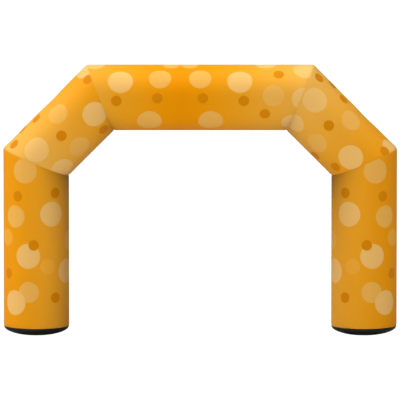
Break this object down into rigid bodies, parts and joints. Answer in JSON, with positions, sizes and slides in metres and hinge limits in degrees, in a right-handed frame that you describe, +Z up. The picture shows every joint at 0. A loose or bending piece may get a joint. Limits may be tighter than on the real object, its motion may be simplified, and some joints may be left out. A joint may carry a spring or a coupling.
{
  "type": "inflatable arch",
  "caption": "Free-standing inflatable event arch: an air-filled cloth tube bent into legs, sloping haunches and a level beam, in a polka-dot cover with dark base caps.",
  "frame": {"origin": "on the ground, midway between the two legs and midway through the tube's depth", "axes": "+X across the arch towards its right leg, +Y through the passage, +Z up"},
  "size_m": [6, 1, 4.12],
  "materials": {
    "printed_cloth": "woven polyester, printed with pale and dark polka dots on an orange ground, slight sheen",
    "base_cloth": "black coated cloth, dull sheen"
  },
  "bodies": {
    "root": {"left_base_cap": "base_cloth", "left_leg": "printed_cloth", "left_haunch": "printed_cloth", "beam": "printed_cloth", "right_haunch": "printed_cloth", "right_leg": "printed_cloth", "right_base_cap": "base_cloth"}
  },
  "joints": []
}
